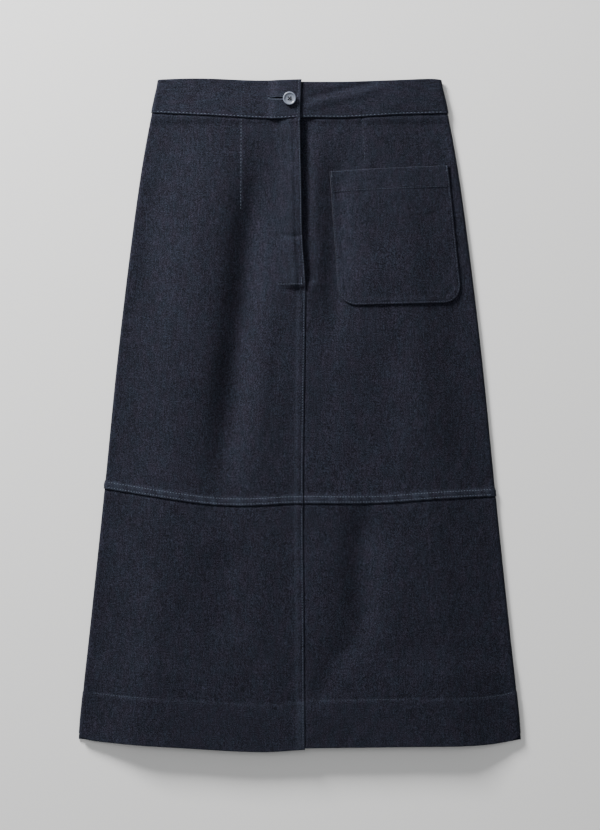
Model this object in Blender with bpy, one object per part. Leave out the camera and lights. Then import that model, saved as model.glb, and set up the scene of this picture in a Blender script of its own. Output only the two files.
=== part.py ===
"""A denim midi skirt that lies flat on a surface, front up.

X runs to the right across the front, Y towards the waist, Z up from the surface. The front cloth is
one smooth form. Each front piece is a slab of that form: it covers its own outline, between a low
and a high lift, which are distances from the form along its normal. Neighbours share the form, so
they meet edge to edge, and what lies on a panel is the panel's own surface, moved out.
"""
import math
from collections import namedtuple

import bmesh
import bpy
from mathutils import Matrix, Vector

MM = 0.001

# Cloth, in millimetres.
CLOTH = 1.2             # one layer of denim
GAP = 0.3               # between pieces that touch
SEAM_GAP = 0.15         # each piece's half of the gap along a seam
HEM_DEPTH = 60.0        # the hem is turned up once, which doubles the cloth
BAND_OUT = 1.0          # the waistband stands this far out of the panels
BAND_IN = 1.4           # and reaches this far in
ROLL = 3.2              # radius of the cloth's turn at each side
SIDE_SLOPE = 88.0       # from the side to the full height of the front

# The fly: the left front lies on the right one, and both end at the seam below it.
FLY_END = 163.0
FLY_RAMP = 10.0
FLY_LIFT = 3.2          # outer face of the overlap, above the form
FLY_SLACK = 0.8         # inner face of the overlap, above the form
FLY_WIDTH = 30.0        # from the facing's outer edge to the overlap's edge
UNDERLAP = 14.0
BAND_LAP_LIFT = 4.0
BAND_LAP_SLACK = 1.6
BAND_LAP_WIDTH = 42.0
BAND_UNDERLAP = 28.0
LAP_RAMP = 13.0         # over which an overlap rises

# Seams that stand up from the panels.
TIER_EDGE_LIFT = 1.0
TIER_EDGE_WIDTH = 9.0

# Button and buttonhole.
BUTTON_X = -12.7
BUTTON_Y = 396.6
BUTTON_TILT = math.radians(8.0)
BUTTON_CLEARANCE = 0.9
BUTTON_SIDES = 32
HOLE_RADIUS = 0.9
HOLE_PITCH = 1.65       # of each hole from the button's two centre lines
BUTTONHOLE = (-38.0, -11.2)
BUTTONHOLE_WIDTH = 2.2
THREAD_RADIUS = 0.45
SHANK_RADIUS = 0.7

# Half of the width at each height.
Width = namedtuple("Width", "y half")
SIDES = [
    Width(424.0, 177.4), Width(409.0, 179.7), Width(380.0, 186.3), Width(306.0, 199.6),
    Width(200.0, 214.2), Width(64.0, 230.2), Width(-95.0, 246.0), Width(-250.0, 262.2),
    Width(-374.0, 275.5), Width(-424.0, 279.6),
]

# Height of the front's middle over its sides.
Crown = namedtuple("Crown", "y rise")
CROWN = [
    Crown(424.0, 5.6), Crown(380.0, 6.2), Crown(300.0, 8.0), Crown(150.0, 9.5),
    Crown(-100.0, 10.5), Crown(-250.0, 11.5), Crown(-424.0, 12.0),
]

# Lines across the front, from the left side to the right.
Mark = namedtuple("Mark", "x y")
BAND_TOP_LEFT = [
    Mark(-190.0, 419.5), Mark(-175.0, 421.8), Mark(-128.0, 422.7), Mark(-52.0, 419.8), Mark(3.0, 421.0),
]
BAND_TOP_RIGHT = [
    Mark(-30.0, 418.0), Mark(3.0, 418.2), Mark(60.0, 418.4), Mark(120.0, 420.6), Mark(162.0, 422.7),
    Mark(175.0, 422.0), Mark(190.0, 419.5),
]
WAIST_SEAM = [
    Mark(-187.0, 380.0), Mark(-109.0, 375.6), Mark(-33.0, 371.4), Mark(4.0, 373.0), Mark(60.0, 373.0),
    Mark(127.0, 377.0), Mark(187.0, 379.2),
]
TIER_SEAM = [
    Mark(-246.0, -93.0), Mark(-176.0, -104.0), Mark(-110.0, -113.0), Mark(-66.0, -114.3),
    Mark(-8.0, -111.5), Mark(94.0, -111.3), Mark(173.0, -106.0), Mark(247.0, -102.5),
]
HEM_LEFT = [
    Mark(-279.0, -399.0), Mark(-273.0, -406.5), Mark(-250.0, -411.0), Mark(-138.0, -418.4),
    Mark(-47.0, -422.7), Mark(8.0, -419.6),
]
HEM_RIGHT = [
    Mark(4.0, -418.0), Mark(126.0, -416.5), Mark(225.0, -415.0), Mark(258.0, -411.5),
    Mark(273.0, -406.5), Mark(279.0, -399.0),
]

# The centre front seam, and the edge of the overlap above the fly's end.
CENTRE = [
    Mark(2.5, 424.0), Mark(0.8, 376.0), Mark(2.6, 284.0), Mark(3.7, 222.0), Mark(7.4, 168.0),
    Mark(7.0, 100.0), Mark(4.7, -90.0), Mark(6.0, -300.0), Mark(6.7, -424.0),
]

# Soft folds of the front. Each runs straight from its top to its foot, and dies away at both.
Fold = namedtuple("Fold", "name top_x top_y foot_x foot_y spread rise")
FOLDS = [
    Fold("main trough", -44.0, 362.0, -106.0, -150.0, 27.0, -10.5),
    Fold("ridge left of it", -112.0, 350.0, -124.0, -40.0, 30.0, 2.2),
    Fold("ridge right of it", -32.0, 190.0, -44.0, -120.0, 18.0, 1.5),
    Fold("trough beside the fly", 46.0, 356.0, 45.0, 70.0, 20.0, -5.5),
    Fold("ridge beside the fly", 18.0, 356.0, 20.0, 120.0, 9.0, 1.0),
    Fold("trough in the right tier", 78.0, -96.0, 78.0, -318.0, 24.0, -6.5),
    Fold("swell in the right tier", 120.0, -140.0, 120.0, -300.0, 32.0, 1.6),
    Fold("hollow in the left tier", -98.0, -150.0, -98.0, -300.0, 26.0, -3.5),
    Fold("dent at the centre hem", -6.0, -300.0, -8.0, -385.0, 20.0, -2.0),
    Fold("slanting dent", 70.0, -270.0, 10.0, -372.0, 15.0, -2.5),
]
FOLD_END = 0.3          # share of a fold's length over which it dies away

# The patch pocket: its four corners, before the bottom two are rounded.
POCKET_TOP_LEFT = Mark(37.5, 306.0)
POCKET_TOP_RIGHT = Mark(186.6, 313.8)
POCKET_FOOT_RIGHT = Mark(204.3, 141.0)
POCKET_FOOT_LEFT = Mark(49.5, 137.0)
POCKET_CORNER = 23.0
POCKET_BAND = 27.0
POCKET_GAP = 0.6
STEP = 0.6              # over which a doubled edge steps down to a single layer

DENIM_COLOUR = (0.024, 0.026, 0.038)
BUTTON_COLOUR = (0.30, 0.33, 0.39)
THREAD_COLOUR = (0.030, 0.032, 0.045)


def blend(low, high, share):
    return low + (high - low) * share


def smoothstep(share):
    share = min(max(share, 0.0), 1.0)
    return share * share * (3.0 - 2.0 * share)


def through(knots, at):
    """Smooth curve through (position, value) knots, in either order."""
    knots = sorted(knots)
    if at <= knots[0][0]:
        return knots[0][1]
    if at >= knots[-1][0]:
        return knots[-1][1]
    index = max(k for k in range(len(knots) - 1) if knots[k][0] <= at)
    (x1, y1), (x2, y2) = knots[index], knots[index + 1]
    x0, y0 = knots[max(index - 1, 0)]
    x3, y3 = knots[min(index + 2, len(knots) - 1)]
    span = x2 - x1
    slope1 = (y2 - y0) / (x2 - x0)
    slope2 = (y3 - y1) / (x3 - x1)
    t = (at - x1) / span
    return (
        (2 * t**3 - 3 * t**2 + 1) * y1
        + (t**3 - 2 * t**2 + t) * span * slope1
        + (3 * t**2 - 2 * t**3) * y2
        + (t**3 - t**2) * span * slope2
    )


def half_width(y):
    return through([(row.y, row.half) for row in SIDES], y)


def centre_x(y):
    return through([(mark.y, mark.x) for mark in CENTRE], y)


def line_y(marks, x):
    return through([(mark.x, mark.y) for mark in marks], x)


def doubled_below(y):
    """1 where the back is doubled, at the hem and in the waistband, and 0 between them."""
    hem = smoothstep((-320.0 - y) / 12.0)
    band = smoothstep((y - 364.0) / 8.0)
    return max(hem, band)


def fold_rise(fold, x, y):
    along_x = fold.foot_x - fold.top_x
    along_y = fold.foot_y - fold.top_y
    length = math.hypot(along_x, along_y)
    along = ((x - fold.top_x) * along_x + (y - fold.top_y) * along_y) / length
    across = ((x - fold.top_x) * along_y - (y - fold.top_y) * along_x) / length
    share = along / length
    fade = smoothstep(share / FOLD_END) * smoothstep((1.0 - share) / FOLD_END)
    return fold.rise * fade * math.exp(-((across / fold.spread) ** 2))


def form_point(side, along, y):
    """The form, at a distance along the cloth from the side, which is -1 on the left and 1 on the right."""
    edge_height = GAP + CLOTH * (1.0 + doubled_below(y))
    turn = along / ROLL
    if turn < math.pi / 2:
        inset = ROLL * (1.0 - math.cos(turn))
        return Vector((side * (half_width(y) - inset), y, edge_height + ROLL * math.sin(turn)))
    inset = ROLL + along - ROLL * math.pi / 2
    x = side * (half_width(y) - inset)
    rise = through(CROWN, y) * smoothstep((inset - ROLL) / SIDE_SLOPE)
    rise += sum(fold_rise(fold, x, y) for fold in FOLDS)
    lowest = CLOTH * (1.0 + doubled_below(y)) - ROLL
    return Vector((x, y, edge_height + ROLL + max(rise, lowest)))


def form_normal(side, along, y):
    turn = along / ROLL
    if turn < math.pi / 2:
        return Vector((side * math.cos(turn), 0.0, math.sin(turn)))
    step = 1.0
    across = form_point(side, along + step, y) - form_point(side, along - step, y)
    down = form_point(side, along, y + step) - form_point(side, along, y - step)
    normal = across.cross(down).normalized()
    return normal if side < 0 else -normal


def lifted(side, along, y, lift):
    return form_point(side, along, y) + form_normal(side, along, y) * lift


def along_at(side, x, y):
    """How far along the cloth from the side the place at x lies, past the turn at the edge."""
    return half_width(y) - side * x - ROLL + ROLL * math.pi / 2


def new_material(name, colour, roughness):
    material = bpy.data.materials.new(name)
    material.use_nodes = True
    shader = material.node_tree.nodes["Principled BSDF"]
    shader.inputs["Base Color"].default_value = (*colour, 1.0)
    shader.inputs["Roughness"].default_value = roughness
    shader.inputs["Metallic"].default_value = 0.0
    return material


def new_object(name, mesh, material):
    mesh.materials.append(material)
    thing = bpy.data.objects.new(name, mesh)
    bpy.context.scene.collection.objects.link(thing)
    return thing


def slab(name, low, high, material):
    """A closed wall between two grids of points in millimetres, row by row."""
    mesh_builder = bmesh.new()
    layers = [
        [[mesh_builder.verts.new(point * MM) for point in row] for row in grid] for grid in (low, high)
    ]
    rows = len(low)
    columns = len(low[0])
    for layer in layers:
        for r in range(rows - 1):
            for c in range(columns - 1):
                corners = (layer[r][c], layer[r][c + 1], layer[r + 1][c + 1], layer[r + 1][c])
                mesh_builder.faces.new(corners)
    ring = [(0, c) for c in range(columns)]
    ring += [(r, columns - 1) for r in range(1, rows)]
    ring += [(rows - 1, c) for c in range(columns - 2, -1, -1)]
    ring += [(r, 0) for r in range(rows - 2, 0, -1)]
    for (r1, c1), (r2, c2) in zip(ring, ring[1:] + ring[:1]):
        mesh_builder.faces.new((layers[0][r1][c1], layers[0][r2][c2], layers[1][r2][c2], layers[1][r1][c1]))
    bmesh.ops.recalc_face_normals(mesh_builder, faces=mesh_builder.faces)
    mesh = bpy.data.meshes.new(name)
    mesh_builder.to_mesh(mesh)
    mesh_builder.free()
    return new_object(name, mesh, material)


def panel(name, side, top, foot, inner_edge, columns, row_shares, lifts, material):
    """A front piece from the side to its inner edge, between two lines across the front.

    The outer three columns follow the turn at the side. lifts gives the low and high lift at x, y.
    """
    low = []
    high = []
    top_middle = top(side * 90.0)
    foot_middle = foot(side * 90.0)
    for share in row_shares:
        low_row = []
        high_row = []
        for column in range(columns + 2):
            if column < 2:
                across = 0.0
            else:
                across = (column - 2) / (columns - 1)
            reach_top = half_width(top_middle) - side * inner_edge(top_middle)
            reach_foot = half_width(foot_middle) - side * inner_edge(foot_middle)
            x_top = side * (half_width(top_middle) - across * reach_top)
            x_foot = side * (half_width(foot_middle) - across * reach_foot)
            y = blend(top(x_top), foot(x_foot), share)
            if column < 2:
                along = ROLL * math.pi / 4 * column
            else:
                inner = along_at(side, inner_edge(y), y)
                along = blend(ROLL * math.pi / 2, inner, across)
            x = form_point(side, along, y).x
            low_lift, high_lift = lifts(x, y)
            low_row.append(lifted(side, along, y, low_lift))
            high_row.append(lifted(side, along, y, high_lift))
        low.append(low_row)
        high.append(high_row)
    return slab(name, low, high, material)


def even(count):
    return [k / count for k in range(count + 1)]


def upper_rows():
    """Rows from the waist to the tier seam, with the raised seam edge at the foot."""
    return [k / 16 for k in range(16)] + [0.978, 0.986, 1.0]


def lower_rows():
    """Rows from the tier seam to the hem, with the hem's step."""
    return [k / 8 for k in range(7)] + [0.800, 0.804, 0.87, 0.935, 1.0]


def fly_share(x, y):
    rise = smoothstep((x - (centre_x(y) - FLY_WIDTH)) / LAP_RAMP)
    return rise * smoothstep((y - FLY_END + FLY_RAMP) / FLY_RAMP)


def upper_left_lifts(x, y):
    share = fly_share(x, y)
    edge = y - line_y(TIER_SEAM, x)
    seam = TIER_EDGE_LIFT * smoothstep((TIER_EDGE_WIDTH - edge) / 2.5)
    low = blend(-CLOTH, FLY_SLACK, share)
    high = blend(seam, FLY_LIFT, share)
    return low, high


def upper_right_lifts(x, y):
    edge = y - line_y(TIER_SEAM, x)
    return -CLOTH, TIER_EDGE_LIFT * smoothstep((TIER_EDGE_WIDTH - edge) / 2.5)


def hem_lifts(marks):
    def lifts(x, y):
        doubled = y - line_y(marks, x) < HEM_DEPTH
        return (-2.0 * CLOTH if doubled else -CLOTH), 0.0
    return lifts


def band_left_lifts(x, y):
    share = smoothstep((x - (centre_x(y) - BAND_LAP_WIDTH)) / LAP_RAMP)
    return blend(-BAND_IN, BAND_LAP_SLACK, share), blend(BAND_OUT, BAND_LAP_LIFT, share)


def band_right_lifts(x, y):
    return -BAND_IN, BAND_OUT


def fronts(material):
    """The two upper panels, which meet at the centre below the fly."""
    def waist(x):
        return line_y(WAIST_SEAM, x) - SEAM_GAP

    def tier(x):
        return line_y(TIER_SEAM, x) + SEAM_GAP

    def left_edge(y):
        return centre_x(y) - SEAM_GAP

    def right_edge(y):
        return centre_x(y) + SEAM_GAP - UNDERLAP * smoothstep((y - FLY_END - 8.0) / 14.0)

    panel("front_upper_left", -1, waist, tier, left_edge, 19, upper_rows(), upper_left_lifts, material)
    panel("front_upper_right", 1, waist, tier, right_edge, 25, upper_rows(), upper_right_lifts, material)


def tiers(material):
    """The two lower panels, whose cloth is turned up at the hem."""
    def tier(x):
        return line_y(TIER_SEAM, x) - SEAM_GAP

    for name, side, marks in (("front_lower_left", -1, HEM_LEFT), ("front_lower_right", 1, HEM_RIGHT)):
        def hem(x):
            return line_y(marks, x)

        def edge(y):
            return centre_x(y) + side * SEAM_GAP

        panel(name, side, tier, hem, edge, 19, lower_rows(), hem_lifts(marks), material)


def back_slab(name, top, foot, rows, thickness, material):
    """A flat piece of the back, as wide as the skirt."""
    low = []
    high = []
    for share in rows:
        low_row = []
        high_row = []
        for across in (k / 8 - 1.0 for k in range(17)):
            y = blend(top(across * 200.0), foot(across * 260.0), share)
            point = Vector((across * half_width(y), y, 0.0))
            low_row.append(point)
            high_row.append(point + Vector((0.0, 0.0, thickness(share))))
        low.append(low_row)
        high.append(high_row)
    return slab(name, low, high, material)


def back(material):
    """Waistband, upper back and lower back, flat on the surface."""
    def band_top(x):
        marks = BAND_TOP_LEFT if x < 0.0 else BAND_TOP_RIGHT
        return line_y(marks, x) - 1.5

    def waist(x):
        return 376.0 + 4.0 * (x / 190.0) ** 2

    def tier(x):
        return -112.0 + 13.5 * (x / 246.0) ** 2

    def hem(x):
        marks = HEM_LEFT if x < 5.0 else HEM_RIGHT
        return line_y(marks, x) + 1.5

    back_slab("waistband_back", band_top, lambda x: waist(x) + SEAM_GAP, even(2), lambda share: 2.0 * CLOTH,
              material)
    back_slab("back_upper", lambda x: waist(x) - SEAM_GAP, lambda x: tier(x) + SEAM_GAP, even(6),
              lambda share: CLOTH, material)
    back_slab("back_lower", lambda x: tier(x) - SEAM_GAP, hem, [0.0, 0.25, 0.5, 0.78, 0.80, 0.802, 1.0],
              lambda share: CLOTH * (2.0 if share > 0.801 else 1.0), material)


def buttonhole_cutter():
    left, right = BUTTONHOLE
    bpy.ops.mesh.primitive_cube_add(size=1.0)
    cutter = bpy.context.object
    cutter.name = "buttonhole_cutter"
    cutter.dimensions = ((right - left) * MM, BUTTONHOLE_WIDTH * MM, 30.0 * MM)
    cutter.location = ((left + right) / 2 * MM, BUTTON_Y * MM, 10.0 * MM)
    cutter.hide_render = True
    cutter.display_type = "WIRE"
    return cutter


def waistband(material):
    """The two front halves of the waistband. The left one laps over the right one."""
    def seam(x):
        return line_y(WAIST_SEAM, x) + SEAM_GAP

    def top_left(x):
        return line_y(BAND_TOP_LEFT, x)

    def top_right(x):
        return line_y(BAND_TOP_RIGHT, x)

    def lap_edge(y):
        return centre_x(y)

    def underlap_edge(y):
        return centre_x(y) - BAND_UNDERLAP

    left = panel("waistband_front_left", -1, top_left, seam, lap_edge, 21, even(4), band_left_lifts,
                 material)
    panel("waistband_front_right", 1, top_right, seam, underlap_edge, 19, even(4), band_right_lifts,
          material)
    cut = left.modifiers.new("buttonhole", "BOOLEAN")
    cut.operation = "DIFFERENCE"
    cut.object = buttonhole_cutter()


def pocket(material):
    """The patch pocket, with a doubled band along its top."""
    drop_left = math.dist(POCKET_TOP_LEFT, POCKET_FOOT_LEFT)
    drop_right = math.dist(POCKET_TOP_RIGHT, POCKET_FOOT_RIGHT)
    width = math.dist(POCKET_FOOT_LEFT, POCKET_FOOT_RIGHT)
    straight = 1.0 - POCKET_CORNER / drop_left
    rows = [(0.0, 0.0, 3), (POCKET_BAND / 2 / drop_left, 0.0, 3), (POCKET_BAND / drop_left, 0.0, 3)]
    rows.append(((POCKET_BAND + STEP) / drop_left, 0.0, 2))
    first = rows[-1][0]
    rows += [(blend(first, straight, k / 5), 0.0, 2) for k in range(1, 6)]
    for k in range(1, 6):
        angle = math.radians(90.0 * k / 5)
        share = straight + POCKET_CORNER * math.sin(angle) / drop_left
        rows.append((share, POCKET_CORNER * (1.0 - math.cos(angle)) / width, 2))
    low = []
    high = []
    for share, inset, layers in rows:
        left = Vector(POCKET_TOP_LEFT).lerp(Vector(POCKET_FOOT_LEFT), share)
        right = Vector(POCKET_TOP_RIGHT).lerp(Vector(POCKET_FOOT_RIGHT), share * drop_left / drop_right)
        if share > straight:
            right = Vector(POCKET_TOP_RIGHT).lerp(Vector(POCKET_FOOT_RIGHT), share)
        places = [left.lerp(right, blend(inset, 1.0 - inset, across)) for across in even(20)]
        alongs = [(along_at(1, place.x, place.y), place.y) for place in places]
        thick = CLOTH * (layers - 1)
        low.append([lifted(1, along, y, POCKET_GAP) for along, y in alongs])
        high.append([lifted(1, along, y, POCKET_GAP + thick) for along, y in alongs])
    slab("pocket", low, high, material)


def turned(name, profile, sides, material):
    """A solid turned about Z from (radius, height) points, which start and end on the axis."""
    builder = bmesh.new()
    verts = [builder.verts.new((radius * MM, 0.0, height * MM)) for radius, height in profile]
    edges = [builder.edges.new(pair) for pair in zip(verts, verts[1:])]
    bmesh.ops.spin(
        builder, geom=verts + edges, cent=(0, 0, 0), axis=(0, 0, 1), angle=2 * math.pi, steps=sides,
        use_merge=True,
    )
    bmesh.ops.remove_doubles(builder, verts=builder.verts, dist=0.00001)
    bmesh.ops.recalc_face_normals(builder, faces=builder.faces)
    mesh = bpy.data.meshes.new(name)
    builder.to_mesh(mesh)
    builder.free()
    mesh.shade_smooth()
    mesh.set_sharp_from_angle(angle=math.radians(40))
    return new_object(name, mesh, material)


def rod(builder, start, end, radius, sides):
    """Adds a closed round rod to a bmesh, its ends in millimetres."""
    start = Vector(start) * MM
    end = Vector(end) * MM
    turn = (end - start).to_track_quat("Z", "Y").to_matrix().to_4x4()
    place = Matrix.Translation((start + end) / 2) @ turn
    bmesh.ops.create_cone(
        builder, cap_ends=True, segments=sides, radius1=radius * MM, radius2=radius * MM,
        depth=(end - start).length, matrix=place,
    )


def rods_object(name, rods, sides, material):
    builder = bmesh.new()
    for start, end, radius in rods:
        rod(builder, start, end, radius, sides)
    mesh = bpy.data.meshes.new(name)
    builder.to_mesh(mesh)
    builder.free()
    return new_object(name, mesh, material)


BUTTON_PROFILE = [
    (0.0, 0.0), (5.4, 0.0), (7.2, 0.5), (8.2, 1.5), (8.1, 2.5), (7.4, 3.0), (6.6, 2.8), (5.7, 2.1), (0.0, 1.9),
]


def hole_places():
    return [(sx * HOLE_PITCH, sy * HOLE_PITCH) for sx in (-1, 1) for sy in (-1, 1)]


def button(material, thread_material):
    """The button on the overlap, sewn through the buttonhole to the underlap."""
    along = along_at(-1, BUTTON_X, BUTTON_Y)
    lap_top = lifted(-1, along, BUTTON_Y, BAND_LAP_LIFT).z
    under_top = lifted(-1, along, BUTTON_Y, BAND_OUT).z
    seat = lap_top + BUTTON_CLEARANCE + BUTTON_PROFILE[1][0] * math.sin(BUTTON_TILT)
    place = Vector((BUTTON_X, BUTTON_Y, seat)) * MM

    disc = turned("button", BUTTON_PROFILE, BUTTON_SIDES, material)
    disc.location = place
    disc.rotation_euler = (BUTTON_TILT, 0.0, 0.0)
    cutter = rods_object(
        "button_holes_cutter", [((x, y, -2.0), (x, y, 6.0), HOLE_RADIUS) for x, y in hole_places()], 12,
        material,
    )
    cutter.location = place
    cutter.rotation_euler = (BUTTON_TILT, 0.0, 0.0)
    cutter.hide_render = True
    cutter.display_type = "WIRE"
    cut = disc.modifiers.new("holes", "BOOLEAN")
    cut.operation = "DIFFERENCE"
    cut.object = cutter
    cut.use_self = True

    foot = -0.95
    crest = 2.75
    thread = rods_object("button_thread", [((0, 0, foot), (0, 0, foot + 0.6), 2.7)], 16, thread_material)
    reach = HOLE_PITCH + 0.3
    extra = [((x, y, foot + 0.3), (x, y, crest), THREAD_RADIUS) for x, y in hole_places()]
    extra += [
        ((-reach, -reach, crest), (reach, reach, crest), THREAD_RADIUS),
        ((-reach, reach, crest), (reach, -reach, crest), THREAD_RADIUS),
    ]
    upright = Matrix.Rotation(-BUTTON_TILT, 3, "X")
    shank_top = Vector((0.0, 0.0, foot + 0.3))
    shank_foot = shank_top + upright @ Vector((0.0, 0.0, -(seat + foot + 0.3 - under_top - GAP)))
    extra.append((tuple(shank_foot), tuple(shank_top), SHANK_RADIUS))
    thread.location = place
    thread.rotation_euler = (BUTTON_TILT, 0.0, 0.0)
    for number, piece in enumerate(extra):
        helper = rods_object(f"thread_helper_{number}", [piece], 10, thread_material)
        helper.location = place
        helper.rotation_euler = (BUTTON_TILT, 0.0, 0.0)
        helper.hide_render = True
        helper.display_type = "WIRE"
        join = thread.modifiers.new(f"join {number}", "BOOLEAN")
        join.operation = "UNION"
        join.object = helper


for leftover in list(bpy.data.objects):
    bpy.data.objects.remove(leftover, do_unlink=True)

denim = new_material("denim", DENIM_COLOUR, 0.9)
fronts(denim)
tiers(denim)
back(denim)
waistband(denim)
pocket(denim)
button(new_material("button", BUTTON_COLOUR, 0.4), new_material("thread", THREAD_COLOUR, 0.8))
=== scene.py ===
from functools import partial
import math

import bmesh
import bpy
import numpy as np
from mathutils import Matrix, Vector


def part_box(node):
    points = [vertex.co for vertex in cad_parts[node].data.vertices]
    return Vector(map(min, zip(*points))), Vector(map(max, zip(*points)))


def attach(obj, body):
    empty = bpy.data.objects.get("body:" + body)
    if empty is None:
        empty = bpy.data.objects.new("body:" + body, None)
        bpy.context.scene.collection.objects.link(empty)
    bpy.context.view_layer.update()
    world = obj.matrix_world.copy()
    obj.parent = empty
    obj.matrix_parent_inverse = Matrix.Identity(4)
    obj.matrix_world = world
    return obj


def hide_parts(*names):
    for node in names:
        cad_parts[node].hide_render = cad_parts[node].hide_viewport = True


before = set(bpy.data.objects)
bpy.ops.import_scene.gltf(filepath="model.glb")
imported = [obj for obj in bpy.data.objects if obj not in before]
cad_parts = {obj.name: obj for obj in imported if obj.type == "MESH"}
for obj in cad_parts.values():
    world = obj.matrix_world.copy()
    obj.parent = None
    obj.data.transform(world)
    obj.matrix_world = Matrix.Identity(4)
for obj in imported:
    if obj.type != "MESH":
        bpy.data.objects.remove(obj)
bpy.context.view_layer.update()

# ---- Camera ------------
# Straight above the skirt, far enough off that its sides hardly splay. The frame's long side takes in
# 1.046 m of the surface.
CAMERA_HEIGHT = 3.0
CAMERA_PLACE = (0.0004, -0.0002, CAMERA_HEIGHT)
FRAME_LENGTH = 1.0458
SENSOR_WIDTH = 36.0
camera_data = bpy.data.cameras.new("camera")
camera_data.sensor_width = SENSOR_WIDTH
camera_data.lens = SENSOR_WIDTH * CAMERA_HEIGHT / FRAME_LENGTH
camera = bpy.data.objects.new("camera", camera_data)
camera.location = CAMERA_PLACE
bpy.context.scene.collection.objects.link(camera)
bpy.context.scene.camera = camera

# ---- Floor and light ------------
# A plain, pale matt surface. One soft lamp stands low to the upper left, so the folds shade towards
# the lower right. A wide lamp overhead and the pale room fill the rest.
FLOOR_SIZE = 14.0
FLOOR_DROP = 0.0004
FLOOR_PAPER = {"Base Color": (0.80, 0.795, 0.785, 1.0), "Roughness": 0.9, "Specular IOR Level": 0.2}
ROOM_LIGHT = (0.96, 0.98, 1.0, 1.0)
ROOM_STRENGTH = 0.30


def finished(name, finish):
    """A new material with those values on its shader, with its node tree and that shader."""
    material = bpy.data.materials.new(name)
    material.use_nodes = True
    shader = material.node_tree.nodes["Principled BSDF"]
    for socket, value in finish.items():
        shader.inputs[socket].default_value = value
    return material, material.node_tree, shader


bpy.ops.mesh.primitive_plane_add(size=FLOOR_SIZE, location=(0.0, 0.0, -FLOOR_DROP))
floor = bpy.context.object
floor.name = "floor"
floor.data.materials.append(finished("floor_paper", FLOOR_PAPER)[0])

world = bpy.data.worlds.new("pale room")
world.use_nodes = True
room = world.node_tree.nodes["Background"]
room.inputs["Color"].default_value = ROOM_LIGHT
room.inputs["Strength"].default_value = ROOM_STRENGTH
bpy.context.scene.world = world

# Each lamp: place, size in metres, power in watts. All face the middle of the skirt.
for lamp_name, lamp_place, lamp_size, lamp_power in (
    ("key", (-1.5, 2.25, 1.04), 0.7, 242.0),
    ("top", (-0.5, 0.6, 3.6), 2.0, 34.0),
):
    lamp_data = bpy.data.lights.new(lamp_name, "AREA")
    lamp_data.shape = "SQUARE"
    lamp_data.size = lamp_size
    lamp_data.energy = lamp_power
    lamp = bpy.data.objects.new(lamp_name, lamp_data)
    lamp.location = lamp_place
    lamp.rotation_euler = (-Vector(lamp_place)).to_track_quat("-Z", "Y").to_euler()
    bpy.context.scene.collection.objects.link(lamp)

# ---- Denim ------------
# Raw indigo twill: dark warp along the length, pale weft that shows as specks between the ribs,
# uneven yarns that leave long streaks, and edges where the dye has rubbed to a lighter blue. The
# same lighter blue is also painted on a few ridges as a highlight.
TWILL_PITCH = 0.0011
WARP_DARK = (0.0015, 0.0018, 0.0044, 1.0)
WARP_LIGHT = (0.0272, 0.0300, 0.0465, 1.0)
# Lighter blue of rubbed wear, also painted on a few ridges as a highlight.
WORN_AND_HIGHLIT_BLUE = (0.064, 0.082, 0.118, 1.0)
TINT_GREEN = (0.90, 1.01, 1.06, 1.0)
TINT_PURPLE = (1.12, 0.96, 1.05, 1.0)
DENIM_FINISH = {
    "Roughness": 0.86, "Specular IOR Level": 0.12, "Sheen Weight": 0.04, "Sheen Roughness": 0.5,
}
# Noise for each kind of unevenness: cells a metre, stretch along X, Y and Z, detail and roughness.
SPECK = (1150.0, (1.0, 0.6, 1.0), 2.0, 0.8)
SLUB = (600.0, (1.0, 0.12, 1.0), 3.0)
WEFT = (560.0, (0.14, 1.0, 1.0), 2.0)
CLOUD = (26.0, (1.0, 0.6, 1.0), 4.0)
HUE = (110.0, (1.0, 0.5, 1.0), 3.0)
# What each adds to the share of pale yarn: the noise's low and high, then the share's low and high.
SPECK_PALE = (0.38, 0.68, -0.36, 0.74)
SLUB_PALE = (0.32, 0.70, -0.14, 0.15)
WEFT_PALE = (0.34, 0.70, -0.06, 0.07)
TWILL_PALE = (0.0, 1.0, -0.06, 0.07)
CLOUD_PALE = (0.30, 0.70, 0.13, 0.25)
HUE_SHARE = (0.35, 0.68, 0.0, 1.0)
# What each adds to the height of the weave, in the same four numbers.
TWILL_HEIGHT = (0.0, 1.0, 0.0, 0.35)
SPECK_HEIGHT = (0.25, 0.75, 0.0, 0.5)
SLUB_HEIGHT = (0.3, 0.7, 0.0, 0.35)
WEAVE_RELIEF = 0.0005


def mixed(tree, share, first, second):
    """A node that goes from the first colour to the second; each is a value or another node's output."""
    mix = tree.nodes.new("ShaderNodeMix")
    mix.data_type = "RGBA"
    tree.links.new(share, mix.inputs["Factor"])
    for socket, value in ((mix.inputs["A"], first), (mix.inputs["B"], second)):
        if isinstance(value, tuple):
            socket.default_value = value
        else:
            tree.links.new(value, socket)
    return mix.outputs["Result"]


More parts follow.
